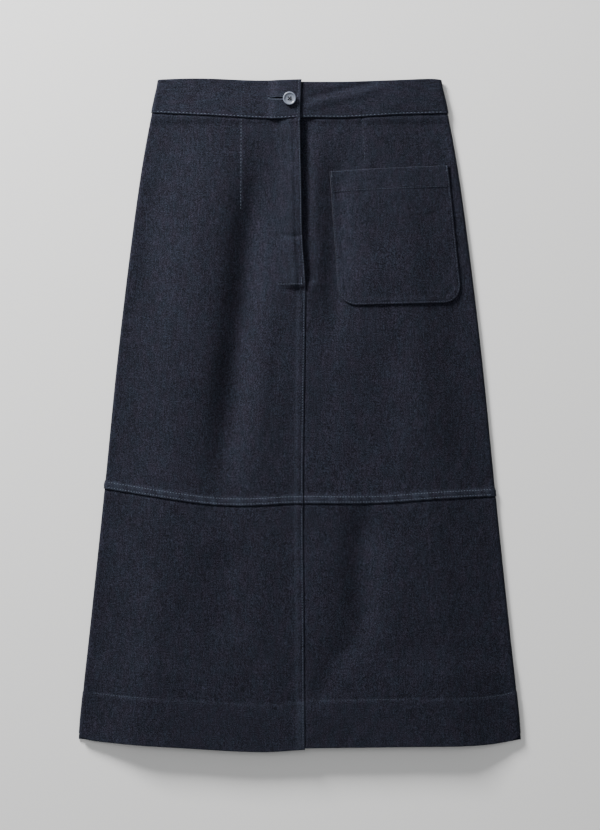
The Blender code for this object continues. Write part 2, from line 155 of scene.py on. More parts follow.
def denim(name, warp_along_x=False, level=1.0):
    """Indigo twill. The warp lies along Y, or along X in a piece that is cut crosswise.

    level scales the paleness that the piece has from the start.
    """
    material, tree, shader = finished(name, DENIM_FINISH)
    nodes, links = tree.nodes, tree.links
    place = nodes.new("ShaderNodeTexCoord")
    turn = nodes.new("ShaderNodeMapping")
    turn.inputs["Rotation"].default_value = (0.0, 0.0, math.pi / 2 if warp_along_x else 0.0)
    links.new(place.outputs["Object"], turn.inputs["Vector"])

    def noise(scale, stretch, detail, roughness=0.55):
        squeeze = nodes.new("ShaderNodeVectorMath")
        squeeze.operation = "MULTIPLY"
        squeeze.inputs[1].default_value = stretch
        links.new(turn.outputs["Vector"], squeeze.inputs[0])
        texture = nodes.new("ShaderNodeTexNoise")
        texture.inputs["Scale"].default_value = scale
        texture.inputs["Detail"].default_value = detail
        texture.inputs["Roughness"].default_value = roughness
        links.new(squeeze.outputs["Vector"], texture.inputs["Vector"])
        return texture.outputs["Fac"]

    def scaled(value, low, high, to_low, to_high):
        remap = nodes.new("ShaderNodeMapRange")
        remap.inputs["From Min"].default_value = low
        remap.inputs["From Max"].default_value = high
        remap.inputs["To Min"].default_value = to_low
        remap.inputs["To Max"].default_value = to_high
        links.new(value, remap.inputs["Value"])
        return remap.outputs["Result"]

    def add(first, second):
        total = nodes.new("ShaderNodeMath")
        total.operation = "ADD"
        links.new(first, total.inputs[0])
        links.new(second, total.inputs[1])
        return total.outputs["Value"]

    twill = nodes.new("ShaderNodeTexWave")
    twill.bands_direction = "DIAGONAL"
    twill.inputs["Scale"].default_value = 2.0 * math.pi / (20.0 * TWILL_PITCH)
    twill.inputs["Distortion"].default_value = 1.6
    twill.inputs["Detail"].default_value = 2.0
    twill.inputs["Detail Scale"].default_value = 0.35
    links.new(turn.outputs["Vector"], twill.inputs["Vector"])
    speck, slub, weft, cloud = noise(*SPECK), noise(*SLUB), noise(*WEFT), noise(*CLOUD)
    cloud_pale = (*CLOUD_PALE[:2], CLOUD_PALE[2] * level, CLOUD_PALE[3] * level)
    pale = add(scaled(speck, *SPECK_PALE), scaled(slub, *SLUB_PALE))
    pale = add(pale, scaled(weft, *WEFT_PALE))
    pale = add(pale, scaled(twill.outputs["Fac"], *TWILL_PALE))
    pale = add(pale, scaled(cloud, *cloud_pale))
    colour = mixed(tree, scaled(pale, 0.0, 1.0, 0.0, 1.0), WARP_DARK, WARP_LIGHT)
    tint = mixed(tree, scaled(noise(*HUE), *HUE_SHARE), TINT_GREEN, TINT_PURPLE)
    dyed = nodes.new("ShaderNodeMix")
    dyed.data_type = "RGBA"
    dyed.blend_type = "MULTIPLY"
    dyed.inputs["Factor"].default_value = 1.0
    links.new(colour, dyed.inputs["A"])
    links.new(tint, dyed.inputs["B"])
    # This attribute mixes in the lighter blue: rubbed wear along seams and edges, and painted highlight
    # on a few ridges.
    worn_and_highlit = nodes.new("ShaderNodeAttribute")
    worn_and_highlit.attribute_name = "wear_and_highlight"
    rubbed_and_highlit = mixed(tree, worn_and_highlit.outputs["Fac"], dyed.outputs["Result"], WORN_AND_HIGHLIT_BLUE)
    links.new(rubbed_and_highlit, shader.inputs["Base Color"])
    bump = nodes.new("ShaderNodeBump")
    bump.inputs["Strength"].default_value = 0.55
    bump.inputs["Distance"].default_value = WEAVE_RELIEF
    height = add(scaled(twill.outputs["Fac"], *TWILL_HEIGHT), scaled(speck, *SPECK_HEIGHT))
    links.new(add(height, scaled(slub, *SLUB_HEIGHT)), bump.inputs["Height"])
    links.new(bump.outputs["Normal"], shader.inputs["Normal"])
    return material


denim_along = denim("denim_warp_lengthwise")
denim_band = denim("denim_waistband", warp_along_x=True, level=1.25)
denim_pocket = denim("denim_pocket", level=1.1)

# ---- Back: waistband, upper panel and lower tier ------------
# Three plain pieces of the same denim, flat on the surface. The waistband and the turned-up hem are
# double. Lengths here and below are millimetres, and X, Y and Z are the frame's own.
MM = 0.001
CLOTH = 1.2
GAP = 0.3               # between two layers that lie on each other
SEAM_GAP = 0.15         # each of two sewn edges stops this short of their seam
EDGE_RADIUS = 0.9
HEM_DEPTH = 60.0
# Height up the skirt, and half of its width there.
SIDES = np.array([
    (424.0, 177.4), (409.0, 179.7), (380.0, 186.3), (306.0, 199.6), (200.0, 214.2), (64.0, 230.2),
    (-95.0, 246.0), (-250.0, 262.2), (-374.0, 275.5), (-424.0, 279.6),
])
# Lines across the front, as places along X and the height there.
BAND_TOP_LEFT = np.array([
    (-190.0, 419.5), (-175.0, 421.8), (-128.0, 422.7), (-52.0, 419.8), (3.0, 421.0),
])
BAND_TOP_RIGHT = np.array([
    (-30.0, 418.0), (3.0, 418.2), (60.0, 418.4), (120.0, 420.6), (162.0, 422.7), (175.0, 422.0),
    (190.0, 419.5),
])
HEM_LEFT = np.array([
    (-279.0, -399.0), (-273.0, -406.5), (-250.0, -411.0), (-138.0, -418.4), (-47.0, -422.7),
    (8.0, -419.6),
])
HEM_RIGHT = np.array([
    (4.0, -418.0), (126.0, -416.5), (225.0, -415.0), (258.0, -411.5), (273.0, -406.5), (279.0, -399.0),
])


def through(knots, at):
    """Smooth curve through rows of (position, value), read at many positions."""
    knots = knots[np.argsort(knots[:, 0])]
    x, y = knots[:, 0], knots[:, 1]
    at = np.clip(at, x[0], x[-1])
    k = np.clip(np.searchsorted(x, at, side="right") - 1, 0, len(x) - 2)
    before = np.maximum(k - 1, 0)
    after = np.minimum(k + 2, len(x) - 1)
    span = x[k + 1] - x[k]
    slope1 = (y[k + 1] - y[before]) / (x[k + 1] - x[before])
    slope2 = (y[after] - y[k]) / (x[after] - x[k])
    t = (at - x[k]) / span
    start = (2 * t**3 - 3 * t**2 + 1) * y[k] + (t**3 - 2 * t**2 + t) * span * slope1
    return start + (3 * t**2 - 2 * t**3) * y[k + 1] + (t**3 - t**2) * span * slope2


def smoothstep(share):
    share = np.clip(share, 0.0, 1.0)
    return share * share * (3.0 - 2.0 * share)


half_width = partial(through, SIDES)


def stations(count, edge=(0.0, 0.25, 0.7, 1.3, 2.2)):
    """(share, offset) of grid lines across a piece: close together at both edges, even between them."""
    edge = np.array(edge)
    inner = np.linspace(0.0, 1.0, count)[1:-1]
    share = np.concatenate([np.zeros(len(edge)), inner, np.ones(len(edge))])
    offset = np.concatenate([edge, (1.0 - 2.0 * inner) * edge[-1], -edge[::-1]])
    return share, offset


def edge_turn(distance, radius):
    """How far a rounded edge falls below the flat of its piece, that far in from the edge."""
    inside = np.clip(distance, 0.0, radius)
    return radius - np.sqrt(np.maximum(radius**2 - (radius - inside) ** 2, 0.0))


def on_skirt(name, mesh):
    """The mesh as a piece that goes where the skirt goes."""
    piece = bpy.data.objects.new(name, mesh)
    bpy.context.scene.collection.objects.link(piece)
    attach(piece, "root")
    return piece


def closed_cloth(name, low, high, wear_and_highlight, material):
    """A closed piece between two grids of points, row by row, with a share of lighter blue at each point:
    rubbed wear, and painted highlight on a few ridges.
    """
    rows, columns = low.shape[:2]
    index = np.arange(rows * columns).reshape(rows, columns)
    under = np.stack([index[:-1, :-1], index[:-1, 1:], index[1:, 1:], index[1:, :-1]], -1).reshape(-1, 4)
    over = under[:, ::-1] + rows * columns
    ring = np.concatenate([index[0, :], index[1:, -1], index[-1, -2::-1], index[-2:0:-1, 0]])
    onward = np.roll(ring, -1)
    side = np.stack([onward, ring, ring + rows * columns, onward + rows * columns], -1)
    faces = np.concatenate([under, over, side])
    points = np.concatenate([low.reshape(-1, 3), high.reshape(-1, 3)]) * MM
    mesh = bpy.data.meshes.new(name)
    mesh.from_pydata(points.tolist(), [], faces.tolist())
    rubbed_and_highlit = mesh.attributes.new("wear_and_highlight", "FLOAT", "POINT")
    both = np.concatenate([wear_and_highlight.reshape(-1), wear_and_highlight.reshape(-1)])
    rubbed_and_highlit.data.foreach_set("value", np.clip(both, 0.0, 1.0).astype(np.float32))
    builder = bmesh.new()
    builder.from_mesh(mesh)
    bmesh.ops.recalc_face_normals(builder, faces=builder.faces)
    builder.to_mesh(mesh)
    builder.free()
    mesh.shade_smooth()
    mesh.materials.append(material)
    return on_skirt(name, mesh)


def back_piece(name, top, foot, thickness, material):
    """A flat piece of the back between two lines across it. thickness is per height above its foot."""
    share, offset = stations(61)
    across = (share[None, :] * 2.0 - 1.0)
    inset = offset[None, :]
    down, drop = stations(41)
    middle = (top(0.0) + foot(0.0)) / 2.0
    x = across * half_width(middle)
    length = top(x) - foot(x)
    y = top(x) - (down[:, None] * length + drop[:, None])
    half = half_width(y)
    x = across * half + inset
    edge = np.minimum(np.minimum(half - np.abs(x), top(x) - y), np.maximum(y - foot(x), 0.0))
    height = thickness(y - foot(x))
    turn = edge_turn(edge, EDGE_RADIUS) * 0.5
    low = np.stack([x, y, np.zeros_like(x)], -1)
    high = np.stack([x, y, height - turn], -1)
    return closed_cloth(name, low, high, np.zeros_like(x), material)


# The back stops a little inside the front's top and hem. Its own seams bow: the height at the middle,
# how much higher they end, and half of the width that they do so over.
BACK_INSIDE = 1.5
BACK_WAIST = (376.0, 4.0, 190.0)
BACK_TIER = (-112.0, 13.5, 246.0)
BAND_LAP_X = 3.0        # the waistband's left end stops here, and the left hem a little further on
HEM_LAP_X = 5.0


def bowed(seam, gap, x):
    middle, rise, half = seam
    return middle + rise * (x / half) ** 2 + gap


def back_top(x):
    return np.where(x < BAND_LAP_X, through(BAND_TOP_LEFT, x), through(BAND_TOP_RIGHT, x)) - BACK_INSIDE


def back_hem(x):
    return np.where(x < HEM_LAP_X, through(HEM_LEFT, x), through(HEM_RIGHT, x)) + BACK_INSIDE


def layers(count, up):
    return count * CLOTH + 0.0 * up


def double_at_hem(up):
    return CLOTH * (1.0 + smoothstep((HEM_DEPTH + 1.0 - up) / 1.5))


waistband_back = back_piece(
    "waistband_back_cloth", back_top, partial(bowed, BACK_WAIST, SEAM_GAP), partial(layers, 2.0),
    denim_band)
back_upper = back_piece(
    "back_upper_cloth", partial(bowed, BACK_WAIST, -SEAM_GAP), partial(bowed, BACK_TIER, SEAM_GAP),
    partial(layers, 1.0), denim_along)
back_lower = back_piece(
    "back_lower_cloth", partial(bowed, BACK_TIER, -SEAM_GAP), back_hem, double_at_hem, denim_along)
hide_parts("waistband_back")
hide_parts("back_upper")
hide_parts("back_lower")

# ---- Front panels: two upper ones over two tiers ------------
# Four denim panels sewn into one soft form that turns over at each side. The left upper panel laps
# over the right one at the fly; below it the centre seam is turned to the left and edge-stitched.
ROLL = 3.2
SIDE_SLOPE = 88.0
CROWN = np.array([
    (424.0, 5.6), (380.0, 6.2), (300.0, 8.0), (150.0, 9.5), (-100.0, 10.5), (-250.0, 11.5),
    (-424.0, 12.0),
])
CENTRE = np.array([
    (424.0, 2.5), (376.0, 0.8), (284.0, 2.6), (222.0, 3.7), (168.0, 7.4), (100.0, 7.0), (-90.0, 4.7),
    (-300.0, 6.0), (-424.0, 6.7),
])
WAIST_SEAM = np.array([
    (-187.0, 380.0), (-109.0, 375.6), (-33.0, 371.4), (4.0, 373.0), (60.0, 373.0), (127.0, 377.0),
    (187.0, 379.2),
])
TIER_SEAM = np.array([
    (-246.0, -93.0), (-176.0, -104.0), (-110.0, -113.0), (-66.0, -114.3), (-8.0, -111.5), (94.0, -111.3),
    (173.0, -106.0), (247.0, -102.5),
])
# Soft folds: top and foot of each, its half spread and its rise, all in the frame's X and Y.
FOLDS = (
    # top x, top y, foot x, foot y, spread, rise
    (-46.0, 366.0, -104.0, -150.0, 22.0, -11.0),
    (-112.0, 350.0, -124.0, -40.0, 30.0, 2.2),
    (-32.0, 190.0, -44.0, -120.0, 18.0, 1.5),
    (46.0, 356.0, 45.0, 70.0, 19.0, -6.2),
    (18.0, 356.0, 20.0, 120.0, 9.0, 1.0),
    (78.0, -96.0, 78.0, -318.0, 21.0, -7.2),
    (120.0, -140.0, 120.0, -300.0, 32.0, 1.6),
    (-98.0, -150.0, -98.0, -300.0, 26.0, -3.5),
    (-6.0, -300.0, -8.0, -385.0, 20.0, -2.0),
    (70.0, -270.0, 10.0, -372.0, 15.0, -2.5),
    # smaller creases
    (-176.0, 330.0, -196.0, 120.0, 16.0, -0.9),
    (-152.0, 250.0, -170.0, 20.0, 13.0, 0.8),
    (-24.0, 150.0, -40.0, -60.0, 9.0, -0.8),
    (100.0, 110.0, 118.0, -90.0, 20.0, -1.3),
    (150.0, 120.0, 170.0, -60.0, 18.0, 0.9),
    (60.0, 100.0, 52.0, -80.0, 15.0, 0.9),
    (-190.0, -140.0, -214.0, -330.0, 22.0, -1.2),
    (-40.0, -130.0, -48.0, -300.0, 16.0, 1.0),
    (30.0, -130.0, 24.0, -300.0, 14.0, 0.9),
    (190.0, -130.0, 214.0, -320.0, 24.0, -1.2),
    (-150.0, -300.0, -110.0, -350.0, 12.0, -0.9),
)
FOLD_END = 0.3          # share of a fold's length over which it fades at each end
FLY_END = 163.0
TURN_IN = 5.0           # how far a panel runs on under the one that laps it
# Where the back below is double, so that the front lies higher: past this height, over this run.
HEM_RISE = (-296.0, 36.0)
BAND_RISE = (364.0, 8.0)
# Uneven relief over the whole front: its height, its size along X and Y, and its seed.
SOFT_SWELLS = (0.45, 46.0, 90.0, 3)
SMALL_SWELLS = (0.16, 15.0, 34.0, 5)
FINE_SWELLS = (0.05, 6.0, 9.0, 8)
SIDE_FADE = 14.0        # the folds fade over this much cloth beside the side turn
NOISE_CELLS = 64
NOISE_SHIFT = 1000.0    # keeps every place on the noise grid positive


def value_noise(x, y, size_x, size_y, seed):
    """Smooth uneven relief from -1 to 1, from random heights on a grid of that size."""
    table = np.random.RandomState(seed).uniform(-1.0, 1.0, (NOISE_CELLS, NOISE_CELLS))
    u = x / size_x + NOISE_SHIFT
    v = y / size_y + NOISE_SHIFT
    i, j = np.floor(u).astype(int), np.floor(v).astype(int)
    s, t = smoothstep(u - i), smoothstep(v - j)

    def corner(a, b):
        return table[(i + a) % NOISE_CELLS, (j + b) % NOISE_CELLS]

    near = corner(0, 0) * (1 - s) + corner(1, 0) * s
    far = corner(0, 1) * (1 - s) + corner(1, 1) * s
    return near * (1 - t) + far * t


centre_x = partial(through, CENTRE)
waist_line = partial(through, WAIST_SEAM)
tier_line = partial(through, TIER_SEAM)
hem_left_line = partial(through, HEM_LEFT)
hem_right_line = partial(through, HEM_RIGHT)


def doubled(y):
    """Share of a second layer that the back has below the front at that height."""
    at_hem = smoothstep((HEM_RISE[0] - y) / HEM_RISE[1])
    return np.maximum(at_hem, smoothstep((y - BAND_RISE[0]) / BAND_RISE[1]))


def fold_relief(x, y):
    relief = np.zeros_like(x)
    for top_x, top_y, foot_x, foot_y, spread, rise in FOLDS:
        length = math.hypot(foot_x - top_x, foot_y - top_y)
        along = ((x - top_x) * (foot_x - top_x) + (y - top_y) * (foot_y - top_y)) / length**2
        across = ((x - top_x) * (foot_y - top_y) - (y - top_y) * (foot_x - top_x)) / length
        fade = smoothstep(along / FOLD_END) * smoothstep((1.0 - along) / FOLD_END)
        relief += rise * fade * np.exp(-((across / spread) ** 2))
    for height, *size_and_seed in (SOFT_SWELLS, SMALL_SWELLS, FINE_SWELLS):
        relief += height * value_noise(x, y, *size_and_seed)
    return relief


def form_points(side, along, y):
    """The shared form of the front, a distance along the cloth from the left (-1) or right (1) side."""
    base = GAP + CLOTH * (1.0 + doubled(y))
    turn = np.clip(along / ROLL, 0.0, math.pi / 2)
    past = np.maximum(along - ROLL * math.pi / 2, 0.0)
    inset = ROLL * (1.0 - np.cos(turn)) + past
    x = side * (half_width(y) - inset)
    rise = through(CROWN, y) * smoothstep(past / SIDE_SLOPE)
    rise = rise + fold_relief(x, y) * smoothstep(past / SIDE_FADE)
    rise = np.maximum(rise, CLOTH * (1.0 + doubled(y)) - ROLL)
    return np.stack([x, y, base + ROLL * np.sin(turn) + rise], -1)


def form_frame(side, along, y):
    """Points of the form and its normals there."""
    step = 0.8
    across = form_points(side, along + step, y) - form_points(side, np.maximum(along - step, 0.0), y)
    down = form_points(side, along, y + step) - form_points(side, along, y - step)
    normal = np.cross(across, down)
    normal *= -side / np.linalg.norm(normal, axis=-1, keepdims=True)
    turn = np.clip(along / ROLL, 0.0, math.pi / 2)
    at_edge = np.stack([side * np.cos(turn), np.zeros_like(turn), np.sin(turn)], -1)
    return form_points(side, along, y), np.where((along < ROLL * math.pi / 2)[..., None], at_edge, normal)


def along_at(side, x, y):
    return half_width(y) - side * x - ROLL + ROLL * math.pi / 2


def bell(distance, width):
    return np.exp(-((distance / width) ** 2))


def pucker(distance, along, reach, seed, pitch=7.0):
    """Uneven gathers beside a line of stitches, which die away within reach of it."""
    return bell(distance, reach) * value_noise(along, distance * 0.0, pitch, 1.0, seed)


PANEL_MIDDLE = 90.0
SETTLING_ROUNDS = 3     # the grid's ends and the slanting edges find each other in this many rounds
PANEL_EDGE_RADIUS = 1.1


def front_piece(name, side, top, foot, inner, counts, lifts, material):
    """A closed piece of the front form. lifts gives its low and high lift, and its share of rubbed wear
    and painted highlight at each place.

    top and foot are lines across the front. inner is the edge at the centre, as a place for each
    height. counts are the grid's lines across and down.
    """
    across, offset = stations(counts[0])
    down, drop = stations(counts[1])
    middle_top = top(np.array(side * PANEL_MIDDLE))
    middle_foot = foot(np.array(side * PANEL_MIDDLE))
    half_top, half_foot = half_width(middle_top), half_width(middle_foot)
    x_top = side * (half_top - across * (half_top - side * inner(middle_top)))
    x_foot = side * (half_foot - across * (half_foot - side * inner(middle_foot)))
    for _ in range(SETTLING_ROUNDS):
        y_top, y_foot = top(x_top), foot(x_foot)
        reach = along_at(side, inner(y_top), y_top)
        x_top = form_points(side, across * reach + offset, y_top)[:, 0]
        reach = along_at(side, inner(y_foot), y_foot)
        x_foot = form_points(side, across * reach + offset, y_foot)[:, 0]
    length = y_top - y_foot
    y = y_top[None, :] - (down[:, None] * length[None, :] + drop[:, None])
    reach = along_at(side, inner(y), y)
    along = across[None, :] * reach + offset[None, :]
    point, normal = form_frame(side, along, y)
    low, high, wear_and_highlight = lifts(point[..., 0], y)
    edge = np.minimum(np.minimum(y_top[None, :] - y, y - y_foot[None, :]), reach - along)
    radius = np.minimum((high - low) / 2.0, PANEL_EDGE_RADIUS)
    fall = edge_turn(edge, radius)
    low, high = low + fall, high - fall
    low_points = point + normal * low[..., None]
    low_points[..., 2] = np.maximum(low_points[..., 2], GAP * 0.5 + CLOTH)
    return closed_cloth(name, low_points, point + normal * high[..., None], wear_and_highlight, material)


def on_front(side, lifts, x, y, proud=0.0):
    """Points on a piece's outer face and the normals there, for what is sewn on it."""
    x, y = np.broadcast_arrays(np.asarray(x, float), np.asarray(y, float))
    point, normal = form_frame(side, along_at(side, x, y), y)
    return point + normal * (lifts(x, y)[1] + proud)[..., None], normal


# The upper panels' foot and the left edges lie on folded seam allowances, which stand them up.
TIER_ALLOWANCE = 10.5
TIER_STEP = 1.15
TIER_ROWS = (2.4, 8.8)
TIER_WEAR = 0.14
CENTRE_ALLOWANCE = 10.0
CENTRE_STEP = 0.85
CENTRE_ROW = 2.3
CENTRE_WEAR = 0.09
STITCH_SINK = 0.28      # how far a row of stitches pulls the cloth down, and how wide its dip is
STITCH_DIP = 0.8
# A dart's step, how far it reaches into the panel, and the dip of its stitches.
DART_STEP = 0.55
DART_REACH = 9.0
DART_DIP = 0.35
DART_FADE = 40.0
DART_LEFT = np.array([(376.0, -73.6), (300.0, -74.0), (250.0, -74.3)])
DART_RIGHT = np.array([(376.0, 78.6), (311.0, 82.0), (270.0, 82.6)])


def roped(along, pitch, seed):
    """A share from 0 to 1 that comes and goes along a seam, where the cloth pulls on its thread."""
    return 0.5 + 0.5 * value_noise(along, along * 0.0, pitch, 1.0, seed)


def tier_raise(x, y):
    """Lift and wear of an upper panel's stitched foot."""
    up = y - tier_line(x)
    lift = TIER_STEP * smoothstep((TIER_ALLOWANCE - up) / 1.6)
    for row in TIER_ROWS:
        lift -= STITCH_SINK * bell(up - row, STITCH_DIP)
    lift += 0.30 * pucker(up - 5.5, x, reach=4.5, seed=21, pitch=5.0)
    lift += 0.22 * pucker(up - 15.0, x, reach=7.0, seed=22, pitch=9.0)
    rope = roped(x + 0.6 * up, 4.2, 23)
    wear_and_highlight = TIER_WEAR * smoothstep((TIER_ALLOWANCE - up) / 1.2) * rope
    return lift, wear_and_highlight + 0.10 * bell(up - 0.6, 0.9) * rope


def left_centre_raise(x, y):
    """Lift and wear along the left side of the centre seam, with a painted highlight along the
    allowance's edge.
    """
    off = centre_x(y) - x
    lift = CENTRE_STEP * smoothstep((CENTRE_ALLOWANCE - off) / 2.2)
    lift += 0.20 * pucker(off - 5.0, y, reach=4.5, seed=31, pitch=6.0)
    lift -= 0.22 * bell(off - CENTRE_ROW, STITCH_DIP)
    rope = roped(y, 5.0, 32)
    wear_and_highlight = CENTRE_WEAR * bell(off - 0.6, 1.3) * (0.3 + 0.7 * rope)
    # The paler line along the allowance's edge is a painted highlight on its ridge; the rest is rubbed
    # wear at the seam.
    return lift, wear_and_highlight + 0.05 * bell(off - CENTRE_ALLOWANCE, 2.2)


def dart_relief(x, y, dart, end):
    """A dart is a stitched fold: a small step that runs out to nothing at its point."""
    off = x - through(dart, y)
    step = DART_STEP * smoothstep((off + 0.6) / 1.2) * bell(np.maximum(off, 0.0), DART_REACH)
    return smoothstep((y - end) / DART_FADE) * (step - DART_DIP * bell(off, 1.1))


def under_band(x, y, seed):
    """Gathers below the waist seam, and the panel's own edge going down under the waistband."""
    waist = waist_line(x) - y
    gathers = 0.30 * pucker(waist - 4.0, x, reach=8.0, seed=seed, pitch=8.0)
    return gathers - 1.1 * smoothstep((1.6 - waist) / 1.6)


# The fly's lap: how far it stands off the form, and its free edge still more towards the waist. Its
# facing shows through as a ridge between two dips, and it is creased across above its stitched foot.
FLY_STAND = 3.2
FLY_EDGE_STAND = 1.9
FLY_EDGE_RISE = 190.0
FLY_LAYERS = 2.4
FLY_WIDTH = 35.0
FLY_SLOPE = 17.0
FLY_RIDGE = 14.0
FLY_DIP = 8.5
FACING = 27.0
FLY_CREASE = 225.0
FLY_FOOT = 158.5
FLY_WEAR = 0.10
# Painted highlight: a paler streak along the facing's ridge, and a paler patch on the raised lap above
# the fly's end.
FLY_PAINTED_HIGHLIGHT = 0.05
LEAST_CLOTH = 0.5       # no piece gets thinner than this
# Beside the fly the right panel sinks, and its turned edge dips under the left one.
FLY_HOLLOW = 3.0
EDGE_DIP = 1.4


def upper_left(x, y):
    off = centre_x(y) - x
    above_end = smoothstep((y - FLY_END + 9.0) / 9.0)
    below_fly = 1.0 - smoothstep((y - FLY_END + 6.0) / 8.0)
    over = smoothstep((FLY_WIDTH - off) / FLY_SLOPE) * above_end
    lift, wear_and_highlight = tier_raise(x, y)
    seam, seam_wear_and_highlight = left_centre_raise(x, y)
    lift = lift + seam * below_fly + dart_relief(x, y, DART_LEFT, 245.0)
    edge = smoothstep((y - FLY_END) / FLY_EDGE_RISE) * smoothstep((15.0 - off) / 12.0)
    stand = FLY_STAND + FLY_EDGE_STAND * edge
    facing = 0.9 * bell(off - FLY_RIDGE, 4.5) - 0.9 * bell(off - FACING, 1.6)
    facing -= 0.8 * bell(off - FLY_DIP, 1.4)
    crease = -1.3 * bell(y - FLY_CREASE - 1.5 * np.sin(x / 5.0), 2.6) * smoothstep((30.0 - off) / 5.0)
    gathers = 0.35 * pucker(off - 14.0, y, reach=12.0, seed=41, pitch=11.0)
    gathers += 0.25 * pucker(off - 4.0, y, reach=5.0, seed=42, pitch=7.0)
    lift = lift + over * (stand + facing + crease + gathers)
    lift = lift - 0.9 * bell(y - FLY_FOOT, 3.0) * smoothstep((40.0 - off) / 10.0)
    lift += 0.35 * pucker(y - 160.0, x, reach=9.0, seed=43, pitch=6.5) * smoothstep((44.0 - off) / 12.0)
    lift += under_band(x, y, 44)
    wear_and_highlight = wear_and_highlight + seam_wear_and_highlight * below_fly + FLY_WEAR * over * bell(off - 0.8, 1.3)
    # Painted highlight on the facing's ridge and on the raised lap above the fly's end.
    wear_and_highlight += FLY_PAINTED_HIGHLIGHT * over * bell(off - FLY_RIDGE, 4.0)
    wear_and_highlight += FLY_PAINTED_HIGHLIGHT * over * bell(off - 15.0, 9.0) * bell(y - FLY_END - 18.0, 16.0)
    wear_and_highlight += 0.05 * bell(x - through(DART_LEFT, y), 0.9) * smoothstep((y - 250.0) / 20.0)
    low = -CLOTH + (CLOTH + stand - FLY_LAYERS) * over
    return low, np.maximum(lift, low + LEAST_CLOTH), wear_and_highlight


def upper_right(x, y):
    off = x - centre_x(y)
    below_fly = 1.0 - smoothstep((y - FLY_END) / 8.0)
    dip = EDGE_DIP * smoothstep((1.2 - off) / 1.8) * below_fly
    lift, wear_and_highlight = tier_raise(x, y)
    lift = lift + dart_relief(x, y, DART_RIGHT, 285.0)
    lift = lift - FLY_HOLLOW * bell(off - 4.0, 11.0) * (1.0 - below_fly) + under_band(x, y, 51)
    low = np.minimum(-CLOTH - dip, lift - dip - CLOTH)
    return low, np.maximum(lift - dip, low + LEAST_CLOTH), wear_and_highlight


def right_inner_edge(y):
    """The right panel runs on a little under the seam, and further under the fly as its underlap."""
    return centre_x(y) - 4.0 - 10.0 * smoothstep((y - FLY_END - 8.0) / 14.0)


def waist_edge(x):
    return waist_line(x) + TURN_IN * 0.4


front_upper_left = front_piece(
    "front_upper_left_cloth", -1, waist_edge, tier_line, centre_x, (110, 200), upper_left, denim_along)
front_upper_right = front_piece(
    "front_upper_right_cloth", 1, waist_edge, tier_line, right_inner_edge, (116, 200), upper_right,
    denim_along)
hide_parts("front_upper_left")
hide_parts("front_upper_right")

# The hem is the tier's own cloth turned up once, so it is double, and its stitched edge leaves a line.
HEM_STEP = 0.5
HEM_LINE = 0.55


def tier_lifts(side, hem_line):
    """The lift and wear of one side's lower tier, down to its own hem, and on the left side the painted
    highlight beside the centre seam.
    """
    def lifts(x, y):
        up = y - hem_line(x)
        below = tier_line(x) - y
        off = side * (x - centre_x(y))
        hem = smoothstep((HEM_DEPTH + 1.0 - up) / 2.0)
        lift = HEM_STEP * hem - HEM_LINE * bell(up - HEM_DEPTH, 1.3)
        lift += 0.35 * pucker(up - HEM_DEPTH, x, reach=9.0, seed=61, pitch=8.0)
        lift += 0.28 * pucker(up - 6.0, x, reach=9.0, seed=62, pitch=10.0)
        lift += 0.30 * pucker(below - 5.0, x, reach=8.0, seed=63, pitch=8.0)
        lift -= 1.5 * smoothstep((2.2 - below) / 2.4)
        wear_and_highlight = 0.13 * bell(up, 1.1) + 0.05 * bell(up - HEM_DEPTH, 1.0)
        dip = 0.0
        if side < 0:
            seam, seam_wear_and_highlight = left_centre_raise(x, y)
            lift = lift + seam
            wear_and_highlight = wear_and_highlight + seam_wear_and_highlight + 0.07 * hem * smoothstep((9.0 - off) / 2.0)
        else:
            dip = EDGE_DIP * smoothstep((1.2 - off) / 1.8)
        low = -CLOTH * (1.0 + hem) - dip
        return low, np.maximum(lift - dip, low + LEAST_CLOTH), wear_and_highlight
    return lifts


lower_left = tier_lifts(-1, hem_left_line)
lower_right = tier_lifts(1, hem_right_line)


def tier_top(x):
    return tier_line(x) + 1.5


def right_centre_edge(y):
    return centre_x(y) - 4.0


front_lower_left = front_piece(
    "front_lower_left_cloth", -1, tier_top, hem_left_line, centre_x, (120, 130), lower_left, denim_along)
front_lower_right = front_piece(
    "front_lower_right_cloth", 1, tier_top, hem_right_line, right_centre_edge, (120, 130), lower_right,
    denim_along)
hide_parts("front_lower_left")
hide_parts("front_lower_right")

# ---- Waistband front ------------
# A folded band of the same denim, cut crosswise, topstitched along its lower edge. Its left end laps
# over the right one and holds the buttonhole.
BUTTONHOLE_Y = 397.2
BUTTONHOLE = (-38.5, -11.0)
HOLE_MIDDLE = (BUTTONHOLE[0] + BUTTONHOLE[1]) / 2
HOLE_HALF = (BUTTONHOLE[1] - BUTTONHOLE[0]) / 2
HOLE_OPENING = 0.9
BAND_ROW = 1.9
BAND_END_ROW = 3.6
BAND_LIFT = 1.1
BAND_CROWN = 0.45
BAND_LAP = 42.0         # from the left end to where it has come down to the band beside it
BAND_LAP_LIFT = 2.9
band_left_line = partial(through, BAND_TOP_LEFT)
band_right_line = partial(through, BAND_TOP_RIGHT)


def band_relief(x, y, top_line):
    """Lift and wear that both ends of the waistband share."""
    up = y - waist_line(x)
    down = top_line(x) - y
    lift = BAND_LIFT + BAND_CROWN * bell(up - 20.0, 15.0) - 0.32 * bell(up - BAND_ROW, 0.9)
    lift += 0.30 * pucker(up - 5.0, x, reach=8.0, seed=71, pitch=6.5)
    lift += 0.20 * pucker(down - 4.0, x, reach=6.0, seed=72, pitch=8.0)
    lift += 0.22 * value_noise(x, y, 12.0, 9.0, 73)
    rope = roped(x + up, 5.0, 74)
    wear_and_highlight = 0.10 * bell(up - 0.8, 1.6) * rope
    return lift, wear_and_highlight + 0.09 * bell(down - 0.5, 1.2) * (0.3 + 0.7 * rope)


